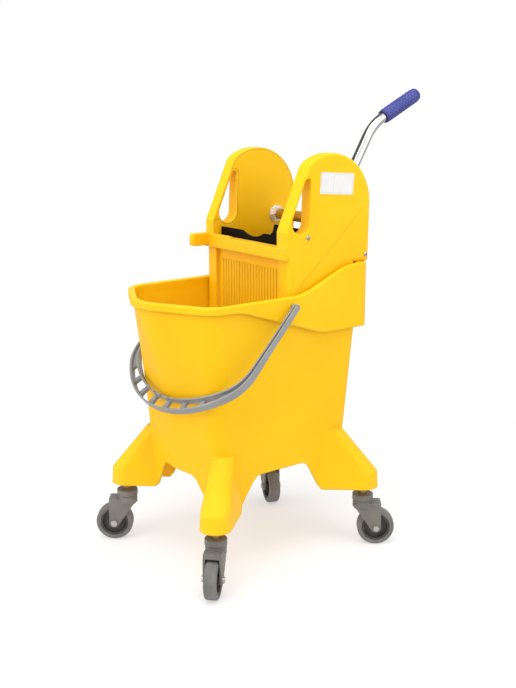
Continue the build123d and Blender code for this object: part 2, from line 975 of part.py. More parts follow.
# Wringer: two side boxes, recessed grooved front, drained floor, low rear wall and a rest flange
shaft_place = (shaft_y, shaft_z)
bush_radius = shaft_radius + bush_wall
panel_lap = wringer_wall / 2
with BuildPart() as wringer_body:
    add(side_box_shell())
    mirror(about=Plane.YZ)
    block(
        (-box_inner_x - panel_lap, apron_rear_y - wringer_wall, wringer_base_z),
        (box_inner_x + panel_lap, wringer_rear_y, wringer_base_z + wringer_wall),
    )
    block(
        (-box_inner_x, front_panel_y, wringer_base_z),
        (box_inner_x, apron_rear_y, wringer_base_z + wringer_wall),
    )
    block(
        (-box_inner_x - panel_lap, wringer_rear_y - wringer_wall, wringer_base_z),
        (box_inner_x + panel_lap, wringer_rear_y, collar_top_z + wringer_wall),
    )
    block(
        (-box_inner_x - panel_lap, wringer_rear_y - wringer_wall, collar_top_z),
        (box_inner_x + panel_lap, rim_rear_y, collar_top_z + wringer_wall),
    )
    block(
        (-box_inner_x, front_panel_y, apron_low_z),
        (box_inner_x, front_panel_y + front_panel_thick, band_top_z),
    )
    for side in (-1, 1):
        block(
            (side * (box_inner_x - panel_lap), front_set_back, apron_low_z),
            (side * (box_inner_x + panel_lap), front_set_back + wringer_wall, band_low_z),
        )
        block(
            (side * (box_inner_x - panel_lap), front_set_back, apron_low_z),
            (side * box_inner_x, front_panel_y + front_panel_thick, band_top_z),
        )
    block(
        (-wringer_half_width, -band_proud, band_low_z),
        (wringer_half_width, wringer_wall, band_top_z),
    )
    block(
        (-box_inner_x, wringer_wall, band_low_z),
        (box_inner_x, front_panel_y + front_panel_thick, band_low_z + wringer_wall),
    )
    block(
        (-wringer_half_width, -band_proud, band_top_z),
        (band_raise_end_x, wringer_wall, band_top_z + band_raise),
    )
    add(front_lug())
    with Locations((0, front_panel_y, (groove_low_z + groove_top_z) / 2)):
        with GridLocations(groove_pitch, 1, groove_count, 1):
            Box(groove_width, 2 * groove_depth, groove_top_z - groove_low_z, mode=Mode.SUBTRACT)
    with Locations((0, wringer_rear_y / 2, wringer_base_z)):
        with GridLocations(drain_pitch, drain_pitch, drain_columns, drain_rows):
            Cylinder(drain_radius, 4 * wringer_wall, mode=Mode.SUBTRACT)
wringer_body.part.label = "wringer_body"
export_step(wringer_body.part, "parts/wringer_body.step")


def inner_panel(side):
    """Cover of one side box, let into its open side and seated on the screw bosses."""
    with BuildPart() as panel:
        extrude(
            inner_outline(side * panel_outer_x, wringer_wall + panel_seam), amount=-side * panel_thick
        )
        rods(
            side * panel_outer_x,
            side * box_inner_x,
            [shaft_place],
            shaft_radius + shaft_clear,
            Mode.SUBTRACT,
        )
        rods(
            side * panel_outer_x,
            side * (box_inner_x + panel_skin),
            box_screws,
            screw_radius + running_gap,
            Mode.SUBTRACT,
        )
    return panel.part


def bush(side):
    """Bearing bush of the press shaft, in the boss of one side box."""
    with BuildPart() as sleeve:
        start_x = side * (panel_outer_x + panel_seam)
        end_x = side * (plate_inner_x - panel_seam)
        rods(start_x, end_x, [shaft_place], bush_radius)
        rods(start_x, end_x, [shaft_place], shaft_radius + running_gap, Mode.SUBTRACT)
    return sleeve.part


def shaft_collar(side):
    """Plated collar on the shaft: flange against the ear, then a hexagon."""
    flange_x = side * (box_inner_x - face_gap)
    nut_x = flange_x - side * collar_flange
    with BuildPart() as collar:
        rods(flange_x, nut_x, [shaft_place], shaft_radius + collar_flange_proud)
        with BuildSketch(Plane.YZ.offset(nut_x)):
            with Locations(shaft_place):
                RegularPolygon(shaft_radius + collar_nut_proud, 6)
        extrude(amount=-side * collar_nut)
        rods(flange_x, nut_x - side * collar_nut, [shaft_place], shaft_radius + running_gap, Mode.SUBTRACT)
    return collar.part


# Covers, bushes and shaft collars, left and right
for name, side in {"left": -1, "right": 1}.items():
    pieces = {
        "wringer_inner_panel": inner_panel(side),
        "shaft_bush": bush(side),
        "shaft_collar": shaft_collar(side),
    }
    for piece, part in pieces.items():
        part.label = f"{piece}_{name}"
        export_step(part, f"parts/{part.label}.step")

# Screws from the outer faces into the covers
with BuildPart() as wringer_screws:
    for side in (-1, 1):
        tip_x = box_inner_x + panel_skin + panel_seam
        rods(side * tip_x, side * wringer_half_width, box_screws, screw_radius)
        rods(
            side * wringer_half_width,
            side * (wringer_half_width + screw_head_height),
            box_screws,
            screw_head_radius,
        )
wringer_screws.part.label = "wringer_screws"
export_step(wringer_screws.part, "parts/wringer_screws.step")

# Strainer plate behind the front panel, on standing ribs, with a post beside the right ear
strainer_half = box_inner_x - panel_lap - face_gap
strainer_low_z = wringer_base_z + wringer_wall
strainer_hole_z = wringer_base_z + strainer_hole_low + strainer_hole_height / 2
strainer_rear_y = strainer_y + strainer_thick
with BuildPart() as strainer_plate:
    with BuildSketch(Plane.XZ.offset(-strainer_y)):
        with BuildLine():
            edge = Polyline(
                (strainer_dip_x + strainer_dip_half, strainer_top_z),
                (strainer_half - strainer_post_foot, strainer_top_z),
                (strainer_half - strainer_post_bend, strainer_top_z + strainer_post_bend_rise),
                (strainer_half - strainer_post_width, strainer_post_z),
                (strainer_half, strainer_post_z),
                (strainer_half, strainer_low_z),
                (-strainer_half, strainer_low_z),
                (-strainer_half, strainer_top_z),
                (strainer_dip_x - strainer_dip_half, strainer_top_z),
            )
            ThreePointArc(edge @ 1, (strainer_dip_x, strainer_top_z - strainer_dip), edge @ 0)
        make_face()
    extrude(amount=-strainer_thick)
    with Locations((0, strainer_y, strainer_hole_z)):
        with GridLocations(strainer_rib_pitch, 1, strainer_ribs, 1):
            Box(
                strainer_thick,
                strainer_y - front_panel_y - front_panel_thick,
                strainer_hole_height,
                align=(Align.CENTER, Align.MAX, Align.CENTER),
            )
    with BuildSketch(Plane.YZ.offset(strainer_half - strainer_thick)):
        with BuildLine():
            Polyline(
                (strainer_y, strainer_low_z),
                (strainer_y, strainer_post_z),
                (strainer_post_rear_y, strainer_post_z - strainer_dip),
                (strainer_post_rear_y, strainer_top_z - strainer_dip),
                (strainer_rear_y, strainer_low_z),
                close=True,
            )
        make_face()
    extrude(amount=strainer_thick)
    with Locations((0, strainer_y, strainer_hole_z)):
        with GridLocations(strainer_rib_pitch, 2 * strainer_hole, strainer_ribs - 1, 1):
            Box(strainer_hole, 4 * strainer_thick, strainer_hole_height, mode=Mode.SUBTRACT)
strainer_plate.part.label = "strainer_plate"
export_step(strainer_plate.part, "parts/strainer_plate.step")

# Press shaft between the two bushes
shaft_end_x = plate_inner_x - 2 * face_gap
with BuildPart() as press_shaft:
    rods(-shaft_end_x, shaft_end_x, [shaft_place], shaft_radius)
press_shaft.part.label = "press_shaft"
export_step(press_shaft.part, "parts/press_shaft.step")

# Press plate: ribbed paddle that hangs from two hubs on the shaft
press_plane = Plane(
    origin=(0, shaft_y, shaft_z),
    x_dir=(1, 0, 0),
    z_dir=(0, -cos(radians(press_tilt)), sin(radians(press_tilt))),
)
press_half_width = box_inner_x - press_side_gap
press_depth = (shaft_height - wringer_wall - press_floor_gap) / cos(radians(press_tilt))
press_hub_radius = shaft_radius + press_hub_wall
press_hub_x = lever_x - (hub_width + press_hub_width) / 2 - press_hub_gap
hub_places = [(press_far_hub_x, 0), (press_hub_x, 0)]
with BuildPart() as press_plate:
    with BuildSketch(press_plane.offset(-press_thick / 2)) as paddle:
        with Locations((0, -press_top)):
            Rectangle(2 * press_half_width, press_depth - press_top, align=(Align.CENTER, Align.MAX))
        fillet(paddle.vertices(), press_round)
    extrude(amount=press_thick)
    with BuildSketch(press_plane.offset(press_thick / 2)):
        with Locations((0, -(press_top + press_depth) / 2)):
            with GridLocations(1, press_rib_pitch, 1, press_ribs):
                SlotOverall(2 * press_half_width - 4 * press_round, press_rib_width)
    extrude(amount=press_rib_height)
    with BuildSketch(press_plane.offset(-press_arm_thick / 2)):
        with Locations(*hub_places):
            Rectangle(press_hub_width, press_arm_length, align=(Align.CENTER, Align.MAX))
    extrude(amount=press_arm_thick)
    for x, y in hub_places:
        rods(x - press_hub_width / 2, x + press_hub_width / 2, [shaft_place], press_hub_radius)
    rods(-press_half_width, press_half_width, [shaft_place], shaft_radius + running_gap, Mode.SUBTRACT)
    with BuildSketch(Plane(origin=press_plane.origin, x_dir=(1, 0, 0), z_dir=press_plane.y_dir)):
        with Locations(*hub_places):
            Circle(screw_radius + running_gap)
    extrude(amount=2 * press_hub_radius, mode=Mode.SUBTRACT)
press_plate.part.label = "press_plate"
export_step(press_plate.part, "parts/press_plate.step")

# Clamp screws of the two hubs
with BuildPart() as press_plate_screws:
    screw_plane = Plane(origin=press_plane.origin, x_dir=(1, 0, 0), z_dir=press_plane.y_dir)
    with BuildSketch(screw_plane.offset(shaft_radius + face_gap)):
        with Locations(*hub_places):
            Circle(screw_radius)
    extrude(amount=press_hub_radius + screw_head_height - shaft_radius - face_gap)
    with BuildSketch(screw_plane.offset(press_hub_radius + face_gap)):
        with Locations(*hub_places):
            Circle(screw_head_radius)
    extrude(amount=screw_head_height)
press_plate_screws.part.label = "press_plate_screws"
export_step(press_plate_screws.part, "parts/press_plate_screws.step")


# Lever: hub on the shaft, bent tube and grip
lever_turn = lever_bend * tan(radians(lever_end_lean - lever_lean) / 2)
tube_start = shaft_radius + socket_wall
socket_radius_outer = lever_radius + running_gap + socket_wall
tube_place = lean(shaft_place, lever_lean, tube_start + face_gap)
cross_place = lean(shaft_place, lever_lean, socket_screw)
bend_place = lean(shaft_place, lever_lean, lever_straight + lever_turn)
grip_place = lean(bend_place, lever_end_lean, lever_turn + grip_start)
tube_end_place = lean(grip_place, lever_end_lean, grip_length - 2 * grip_end)
lever_line = (0, *lean((0, 0), lever_lean, 1))
grip_line = (0, *lean((0, 0), lever_end_lean, 1))
lever_root = Plane(origin=(lever_x, *shaft_place), x_dir=(1, 0, 0), z_dir=lever_line)
grip_root = Plane(origin=(lever_x, *grip_place), x_dir=(1, 0, 0), z_dir=grip_line)

with BuildPart() as lever_hub:
    rods(lever_x - hub_width / 2, lever_x + hub_width / 2, [shaft_place], shaft_radius + hub_wall)
    disc(lever_root, 0, socket_radius_outer, socket_length)
    disc(lever_root, tube_start, lever_radius + running_gap, socket_length, Mode.SUBTRACT)
    rods(lever_x - hub_width, lever_x + hub_width, [shaft_place], shaft_radius + running_gap, Mode.SUBTRACT)
    rods(lever_x - hub_width, lever_x + hub_width, [cross_place], screw_radius + running_gap, Mode.SUBTRACT)
lever_hub.part.label = "lever_hub"
export_step(lever_hub.part, "parts/lever_hub.step")

with BuildPart() as lever_hub_screw:
    head_x = lever_x + socket_radius_outer + face_gap
    rods(lever_x - socket_radius_outer, head_x, [cross_place], screw_radius)
    rods(head_x, head_x + screw_head_height, [cross_place], screw_head_radius)
lever_hub_screw.part.label = "lever_hub_screw"
export_step(lever_hub_screw.part, "parts/lever_hub_screw.step")

with BuildPart() as lever_tube:
    with BuildLine(Plane.YZ.offset(lever_x)):
        FilletPolyline(tube_place, bend_place, tube_end_place, radius=lever_bend)
    with BuildSketch(lever_root.offset(tube_start + face_gap)):
        Circle(lever_radius)
        Circle(lever_radius - lever_wall, mode=Mode.SUBTRACT)
    sweep()
    rods(lever_x - hub_width, lever_x + hub_width, [cross_place], screw_radius + running_gap, Mode.SUBTRACT)
lever_tube.part.label = "lever_tube"
export_step(lever_tube.part, "parts/lever_tube.step")

with BuildPart() as lever_grip:
    disc(grip_root, 0, lever_radius + grip_wall, grip_length)
    fillet(lever_grip.edges().filter_by(GeomType.CIRCLE).sort_by(Axis.Y)[-1], grip_round)
    disc(grip_root, 0, lever_radius + running_gap, grip_length - grip_end, Mode.SUBTRACT)
lever_grip.part.label = "lever_grip"
export_step(lever_grip.part, "parts/lever_grip.step")
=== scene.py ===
import json
import math

import bpy
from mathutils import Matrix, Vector


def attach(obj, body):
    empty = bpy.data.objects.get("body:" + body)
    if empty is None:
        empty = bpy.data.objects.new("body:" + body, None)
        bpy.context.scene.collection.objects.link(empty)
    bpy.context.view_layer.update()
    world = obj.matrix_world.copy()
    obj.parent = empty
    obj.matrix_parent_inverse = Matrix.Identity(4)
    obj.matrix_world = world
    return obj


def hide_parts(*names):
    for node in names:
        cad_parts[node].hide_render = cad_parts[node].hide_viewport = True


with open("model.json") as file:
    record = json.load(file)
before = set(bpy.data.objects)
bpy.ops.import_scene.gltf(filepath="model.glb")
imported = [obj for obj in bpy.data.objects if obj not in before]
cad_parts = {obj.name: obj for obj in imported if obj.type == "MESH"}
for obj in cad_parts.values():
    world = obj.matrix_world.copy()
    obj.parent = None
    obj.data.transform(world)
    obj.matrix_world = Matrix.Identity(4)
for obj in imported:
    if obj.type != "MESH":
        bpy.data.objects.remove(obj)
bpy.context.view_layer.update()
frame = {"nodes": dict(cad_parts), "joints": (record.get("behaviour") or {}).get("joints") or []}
cadNodes = frame["nodes"]
print("frame loaded,", len(cadNodes), "nodes")

# camera at the photo's viewing angle
shot = {
    "place": (1.6637, -1.2444, 0.9219),
    "aim": (-0.0330, 0.0606, 0.4000),
    "lens": 56.56,
}


def aimFrom(place, aim):
    return (Vector(aim) - Vector(place)).to_track_quat("-Z", "Y").to_euler()


bpy.ops.object.select_all(action="DESELECT")
bpy.ops.object.camera_add(location=shot["place"], rotation=aimFrom(shot["place"], shot["aim"]))
camera = bpy.context.object
camera.name = "photoCamera"
camera.data.lens = shot["lens"]
bpy.context.scene.camera = camera
print("camera set")


# small helpers for the finishes
def startFinish(name):
    finish = bpy.data.materials.new(name)
    finish.use_nodes = True
    tree = finish.node_tree
    tree.nodes.clear()
    skin = tree.nodes.new("ShaderNodeBsdfPrincipled")
    result = tree.nodes.new("ShaderNodeOutputMaterial")
    tree.links.new(skin.outputs["BSDF"], result.inputs["Surface"])
    return finish, tree, skin


def put(tree, kind, sockets=None, **settings):
    node = tree.nodes.new("ShaderNode" + kind)
    for key, value in settings.items():
        setattr(node, key, value)
    for key, value in (sockets or {}).items():
        node.inputs[key].default_value = value
    return node


def join(tree, source, target):
    tree.links.new(source, target)


def objectPlace(tree, location=(0, 0, 0), rotation=(0, 0, 0), scale=(1, 1, 1)):
    place = put(tree, "TexCoord")
    turned = put(tree, "Mapping", {"Location": location, "Rotation": rotation, "Scale": scale},
                 vector_type="TEXTURE")
    join(tree, place.outputs["Object"], turned.inputs["Vector"])
    return turned.outputs["Vector"]


def noise(tree, place, scale, detail=3.0, rough=0.55):
    grain = put(tree, "TexNoise", {"Scale": scale, "Detail": detail, "Roughness": rough})
    join(tree, place, grain.inputs["Vector"])
    return grain.outputs["Fac"]


def ramp(tree, value, stops):
    shade = put(tree, "ValToRGB")
    band = shade.color_ramp
    while len(band.elements) < len(stops):
        band.elements.new(0.5)
    for element, (spot, colour) in zip(band.elements, stops):
        element.position = spot
        element.color = (*colour, 1) if isinstance(colour, tuple) else (colour, colour, colour, 1)
    join(tree, value, shade.inputs["Fac"])
    return shade.outputs["Color"]


def remap(tree, value, band, low=0.0, high=1.0):
    stretch = put(tree, "MapRange", {"From Min": band[0], "From Max": band[1],
                                     "To Min": low, "To Max": high})
    join(tree, value, stretch.inputs["Value"])
    return stretch.outputs["Result"]


def combine(tree, first, second, operation="MULTIPLY"):
    step = put(tree, "Math", operation=operation, use_clamp=True)
    join(tree, first, step.inputs[0])
    if isinstance(second, float):
        step.inputs[1].default_value = second
    else:
        join(tree, second, step.inputs[1])
    return step.outputs["Value"]


def blendColour(tree, factor, under, over):
    mix = put(tree, "Mix", data_type="RGBA")
    for socket, value in ((mix.inputs[0], factor), (mix.inputs[6], under), (mix.inputs[7], over)):
        if isinstance(value, tuple):
            socket.default_value = (*value, 1)
        else:
            join(tree, value, socket)
    return mix.outputs[2]


def paintOver(finish, mask, colour):
    # a colour over what the finish already has, where the mask is white
    tree = finish.node_tree
    base = tree.nodes["Principled BSDF"].inputs["Base Color"]
    join(tree, blendColour(tree, mask, base.links[0].from_socket, colour), base)
    return finish


def bump(tree, height, strength, distance, under):
    relief = put(tree, "Bump", {"Strength": strength, "Distance": distance})
    join(tree, height, relief.inputs["Height"])
    join(tree, under, relief.inputs["Normal"])
    return relief.outputs["Normal"]


# how far the softened normal turns from the true one, from flat to full edge
edgeFinder = {"samples": 6, "band": (0.985, 0.75)}


def softEdges(tree, radius):
    # rounded moulding edges, and a mask of where they are
    soft = put(tree, "Bevel", {"Radius": radius}, samples=edgeFinder["samples"])
    flat = put(tree, "NewGeometry")
    facing = put(tree, "VectorMath", operation="DOT_PRODUCT")
    join(tree, soft.outputs["Normal"], facing.inputs[0])
    join(tree, flat.outputs["Normal"], facing.inputs[1])
    return soft.outputs["Normal"], remap(tree, facing.outputs["Value"], edgeFinder["band"])


# what all the moulded plastics share: noises as scale and detail, and the band of noise that shows
plasticPattern = {
    "cloudStops": (0.34, 0.50, 0.68), "fleckDetail": 2.0, "fleckBand": (0.56, 0.78),
    "edgeNoise": (9.0, 2.0), "edgeNoiseBand": (0.35, 0.65), "edgeNoiseLeast": 0.55,
    "scratch": (95.0, 2.0), "scratchBand": (0.66, 0.74), "scratchRough": 0.35,
    "scratchTurn": (0.5, 0.3, 0.9), "scratchStretch": (1.0, 0.05, 0.7),
    "smear": (16.0, 5.0), "smearBand": (0.42, 0.72), "gloss": (23.0, 4.0), "glossBand": (0.3, 0.7),
    "wave": (7.0, 1.0), "waveDepth": 0.004, "grainDetail": 2.0, "grainDepth": 0.0003,
}


def mouldedPlastic(name, look):
    pattern = plasticPattern
    finish, tree, skin = startFinish(name)
    place = objectPlace(tree)
    shades = zip(pattern["cloudStops"], (look["deep"], look["main"], look["pale"]))
    colour = ramp(tree, noise(tree, place, look["cloudScale"]), list(shades))
    fleck = noise(tree, place, look["fleckScale"], pattern["fleckDetail"])
    fleck = remap(tree, fleck, pattern["fleckBand"], high=look["fleckAmount"])
    colour = blendColour(tree, fleck, colour, look["pale"])
    edgeNormal, edge = softEdges(tree, look["edgeRadius"])
    # painted highlight: the edge colour is laid along the rounded edges, with noisy strength; the scratches
    # below take the same colour as real wear
    edgeNoise = remap(tree, noise(tree, place, *pattern["edgeNoise"]), pattern["edgeNoiseBand"],
                pattern["edgeNoiseLeast"] * look["edgeHighlightAmount"], look["edgeHighlightAmount"])
    colour = blendColour(tree, combine(tree, edge, edgeNoise), colour, look["wearAndEdgeHighlight"])
    scratchPlace = objectPlace(tree, rotation=pattern["scratchTurn"], scale=pattern["scratchStretch"])
    scratch = noise(tree, scratchPlace, *pattern["scratch"])
    scratch = remap(tree, scratch, pattern["scratchBand"], high=look["scratchAmount"])
    colour = blendColour(tree, scratch, colour, look["wearAndEdgeHighlight"])
    # darker towards the bottom, in noisy patches
    if "grime" in look:
        height = put(tree, "SeparateXYZ")
        join(tree, place, height.inputs["Vector"])
        low = remap(tree, height.outputs["Z"], (look["grimeTop"], look["grimeLow"]))
        smear = noise(tree, place, *pattern["smear"])
        smear = remap(tree, smear, pattern["smearBand"], high=look["grimeAmount"])
        colour = blendColour(tree, combine(tree, low, smear), colour, look["grime"])
    join(tree, colour, skin.inputs["Base Color"])
    gloss = noise(tree, place, *pattern["gloss"])
    gloss = remap(tree, gloss, pattern["glossBand"], look["roughLow"], look["roughHigh"])
    scuff = combine(tree, scratch, pattern["scratchRough"])
    join(tree, combine(tree, gloss, scuff, "ADD"), skin.inputs["Roughness"])
    wave = noise(tree, place, *pattern["wave"])
    wave = bump(tree, wave, look["waveStrength"], pattern["waveDepth"], edgeNormal)
    grain = noise(tree, place, look["grainScale"], pattern["grainDetail"])
    join(tree, bump(tree, grain, look["grainStrength"], pattern["grainDepth"], wave), skin.inputs["Normal"])
    skin.inputs["Specular IOR Level"].default_value = look["specular"]
    return finish


# what all the metals share
metalPattern = {
    "smearDetail": 4.0, "smearStops": (0.32, 0.62), "pitDetail": 2.0, "pitBand": (0.60, 0.75),
    "brushDetail": 2.0, "brushBand": (0.25, 0.75), "brushDepth": 0.0002,
}


def plainMetal(name, look):
    pattern = metalPattern
    finish, tree, skin = startFinish(name)
    place = objectPlace(tree)
    smear = noise(tree, place, look["smearScale"], pattern["smearDetail"])
    colour = ramp(tree, smear, list(zip(pattern["smearStops"], (look["deep"], look["main"]))))
    pit = noise(tree, place, look["pitScale"], pattern["pitDetail"])
    pit = remap(tree, pit, pattern["pitBand"], high=look["pitAmount"])
    join(tree, blendColour(tree, pit, colour, look["pit"]), skin.inputs["Base Color"])
    brush = objectPlace(tree, scale=look["brushStretch"])
    stroke = noise(tree, brush, look["brushScale"], pattern["brushDetail"])
    gloss = remap(tree, stroke, pattern["brushBand"], look["roughLow"], look["roughHigh"])
    join(tree, gloss, skin.inputs["Roughness"])
    edgeNormal = softEdges(tree, look["edgeRadius"])[0]
    brushed = bump(tree, stroke, look["brushStrength"], pattern["brushDepth"], edgeNormal)
    join(tree, brushed, skin.inputs["Normal"])
    skin.inputs["Metallic"].default_value = look["metallic"]
    return finish


# what the treads and the wheel centres share
wheelPattern = {
    "cloud": (38.0, 4.0), "cloudStops": (0.30, 0.52, 0.72), "roughBand": (0.3, 0.7),
    "dust": (140.0, 3.0), "dustBand": (0.52, 0.74),
    "ringDistortion": 0.6, "ringDetail": 1.0, "ringDepth": 0.0004,
    "grain": (600.0, 2.0), "grainStrength": 0.08, "grainDepth": 0.0003,
}


def wheelFinish(name, look, centre, axis):
    # rings round the axle, so each wheel has its own copy
    pattern = wheelPattern
    finish, tree, skin = startFinish(name)
    turn = Vector((0, 0, 1)).rotation_difference(axis).to_euler()
    place = objectPlace(tree, location=centre, rotation=turn)
    rings = put(tree, "TexWave", {"Scale": look["ringScale"], "Distortion": pattern["ringDistortion"],
                                  "Detail": pattern["ringDetail"]},
                wave_type="RINGS", rings_direction="Z")
    join(tree, place, rings.inputs["Vector"])
    cloud = noise(tree, place, *pattern["cloud"])
    shades = zip(pattern["cloudStops"], (look["deep"], look["main"], look["pale"]))
    colour = ramp(tree, cloud, list(shades))
    dust = remap(tree, noise(tree, place, *pattern["dust"]), pattern["dustBand"], high=look["dustAmount"])
    colour = blendColour(tree, dust, colour, look["dust"])
    edgeNormal, edge = softEdges(tree, look["edgeRadius"])
    # painted highlight: a paler colour along the wheel's rounded edges
    colour = blendColour(tree, combine(tree, edge, look["rimAmount"]), colour, look["rim"])
    join(tree, colour, skin.inputs["Base Color"])
    gloss = remap(tree, cloud, pattern["roughBand"], look["roughLow"], look["roughHigh"])
    join(tree, gloss, skin.inputs["Roughness"])
    ringed = bump(tree, rings.outputs["Fac"], look["ringStrength"], pattern["ringDepth"], edgeNormal)
    grain = noise(tree, place, *pattern["grain"])
    grain = bump(tree, grain, pattern["grainStrength"], pattern["grainDepth"], ringed)
    join(tree, grain, skin.inputs["Normal"])
    return finish


def dress(finish, *names):
    for name in names:
        cadNodes[name].data.materials.clear()
        cadNodes[name].data.materials.append(finish)


# yellow polypropylene of the bucket and the wringer
yellowLook = {
    "main": (0.905, 0.512, 0.002), "deep": (0.892, 0.487, 0.001), "pale": (0.915, 0.542, 0.006),
    "wearAndEdgeHighlight": (0.950, 0.645, 0.080), "grime": (0.620, 0.350, 0.040),
    "grimeTop": 0.26, "grimeLow": 0.13, "grimeAmount": 0.16,
    "cloudScale": 4.5, "fleckScale": 85.0, "fleckAmount": 0.22,
    "edgeRadius": 0.0045, "edgeHighlightAmount": 0.60, "scratchAmount": 0.08,
    "roughLow": 0.40, "roughHigh": 0.54, "specular": 0.20,
    "waveStrength": 0.08, "grainScale": 700.0, "grainStrength": 0.03,
}
dress(mouldedPlastic("yellowMoulded", yellowLook),
      "bucket_body", "wringer_body", "wringer_inner_panel_left", "wringer_inner_panel_right")
print("yellow plastic done")

# light grey nylon of the bail handle
bailLook = {
    "main": (0.272, 0.280, 0.292), "deep": (0.244, 0.251, 0.262), "pale": (0.304, 0.312, 0.324),
    "wearAndEdgeHighlight": (0.450, 0.457, 0.466),
    "cloudScale": 9.0, "fleckScale": 130.0, "fleckAmount": 0.35,
    "edgeRadius": 0.0012, "edgeHighlightAmount": 0.50, "scratchAmount": 0.14,
    "roughLow": 0.36, "roughHigh": 0.50, "specular": 0.45,
    "waveStrength": 0.06, "grainScale": 950.0, "grainStrength": 0.14,
}
dress(mouldedPlastic("bailNylon", bailLook), "bail_handle")

# black plastic in the wringer's mouth
blackLook = {
    "main": (0.007, 0.006, 0.005), "deep": (0.005, 0.004, 0.004), "pale": (0.011, 0.010, 0.009),
    "wearAndEdgeHighlight": (0.035, 0.033, 0.030),
    "cloudScale": 11.0, "fleckScale": 120.0, "fleckAmount": 0.30,
    "edgeRadius": 0.0010, "edgeHighlightAmount": 0.45, "scratchAmount": 0.18,
    "roughLow": 0.44, "roughHigh": 0.60, "specular": 0.05,
    "waveStrength": 0.06, "grainScale": 900.0, "grainStrength": 0.16,
}
dress(mouldedPlastic("blackMoulded", blackLook),
      "strainer_plate", "press_plate", "shaft_bush_left", "shaft_bush_right", "lever_hub")

# warm grey castor forks and cups
forkLook = {
    "main": (0.160, 0.149, 0.135), "deep": (0.138, 0.128, 0.116), "pale": (0.192, 0.180, 0.165),
    "wearAndEdgeHighlight": (0.450, 0.440, 0.420), "grime": (0.130, 0.112, 0.090),
    "grimeTop": 0.085, "grimeLow": 0.020, "grimeAmount": 0.40,
    "cloudScale": 16.0, "fleckScale": 220.0, "fleckAmount": 0.40,
    "edgeRadius": 0.0010, "edgeHighlightAmount": 0.60, "scratchAmount": 0.20,
    "roughLow": 0.38, "roughHigh": 0.54, "specular": 0.50,
    "waveStrength": 0.08, "grainScale": 700.0, "grainStrength": 0.22,
}
castorNames = ("front_left", "front_right", "rear_right", "rear_left")
forkFinish = mouldedPlastic("castorCasting", forkLook)
for name in castorNames:
    dress(forkFinish, "castor_fork_" + name, "castor_cup_" + name)
print("grey and black plastics done")

# grey treads and dark wheel centres
treadLook = {
    "main": (0.148, 0.142, 0.129), "deep": (0.120, 0.115, 0.104), "pale": (0.185, 0.179, 0.165),
    "dust": (0.240, 0.228, 0.208), "dustAmount": 0.30, "ringScale": 330.0, "ringStrength": 0.10,
    "rim": (0.330, 0.320, 0.295), "rimAmount": 0.75,
    "roughLow": 0.48, "roughHigh": 0.66, "edgeRadius": 0.0010,
}
centreLook = {
    "main": (0.042, 0.039, 0.035), "deep": (0.030, 0.027, 0.024), "pale": (0.064, 0.060, 0.054),
    "dust": (0.150, 0.140, 0.125), "dustAmount": 0.22, "ringScale": 520.0, "ringStrength": 0.12,
    "rim": (0.090, 0.084, 0.076), "rimAmount": 0.60,
    "roughLow": 0.34, "roughHigh": 0.52, "edgeRadius": 0.0008,
}
for joint in frame["joints"]:
    if joint["name"].startswith("wheel_turn_"):
        name = joint["name"].removeprefix("wheel_turn_")
        centre, axis = Vector(joint["pos_m"]), Vector(joint["axis"])
        dress(wheelFinish("treadRubber_" + name, treadLook, centre, axis), "castor_tyre_" + name)
        dress(wheelFinish("wheelCentre_" + name, centreLook, centre, axis), "castor_hub_" + name)
print("wheels done")

# chrome lever and collars, brass-plated shaft and stems, bright steel screws
chromeLook = {
    "main": (0.830, 0.835, 0.840), "deep": (0.760, 0.765, 0.770), "pit": (0.420, 0.410, 0.395),
    "smearScale": 14.0, "pitScale": 480.0, "pitAmount": 0.12, "brushStretch": (1.0, 1.0, 1.0),
    "brushScale": 30.0, "brushStrength": 0.015, "roughLow": 0.06, "roughHigh": 0.15, "edgeRadius": 0.0008,
    "metallic": 1.0,
}
collarLook = {
    "main": (0.860, 0.850, 0.830), "deep": (0.740, 0.725, 0.700), "pit": (0.400, 0.370, 0.330),
    "smearScale": 45.0, "pitScale": 380.0, "pitAmount": 0.25, "brushStretch": (1.0, 1.0, 1.0),
    "brushScale": 60.0, "brushStrength": 0.02, "roughLow": 0.20, "roughHigh": 0.32, "edgeRadius": 0.0010,
    "metallic": 0.55,
}
brassLook = {
    "main": (0.610, 0.430, 0.180), "deep": (0.480, 0.330, 0.140), "pit": (0.230, 0.150, 0.070),
    "smearScale": 40.0, "pitScale": 420.0, "pitAmount": 0.30, "brushStretch": (1.0, 1.0, 0.04),
    "brushScale": 160.0, "brushStrength": 0.05, "roughLow": 0.24, "roughHigh": 0.42, "edgeRadius": 0.0006,
    "metallic": 1.0,
}
steelLook = {
    "main": (0.620, 0.615, 0.605), "deep": (0.500, 0.495, 0.485), "pit": (0.250, 0.235, 0.215),
    "smearScale": 60.0, "pitScale": 600.0, "pitAmount": 0.30, "brushStretch": (0.05, 1.0, 1.0),
    "brushScale": 240.0, "brushStrength": 0.06, "roughLow": 0.22, "roughHigh": 0.38, "edgeRadius": 0.0005,
    "metallic": 1.0,
}
dress(plainMetal("leverChrome", chromeLook), "lever_tube")
dress(plainMetal("collarChrome", collarLook), "shaft_collar_left", "shaft_collar_right")
brassFinish = plainMetal("brassPlate", brassLook)
steelFinish = plainMetal("screwSteel", steelLook)
dress(brassFinish, "press_shaft")
dress(steelFinish, "press_plate_screws", "lever_hub_screw")
for name in castorNames:
    dress(brassFinish, "castor_stem_" + name)
    dress(steelFinish, "castor_axle_" + name, "castor_nut_" + name)
print("metals done")


# modelling helpers
def clearPick(kind):
    bpy.ops.object.mode_set(mode="EDIT")
    bpy.ops.mesh.select_mode(type=kind)
    bpy.ops.mesh.select_all(action="DESELECT")
    bpy.ops.object.mode_set(mode="OBJECT")


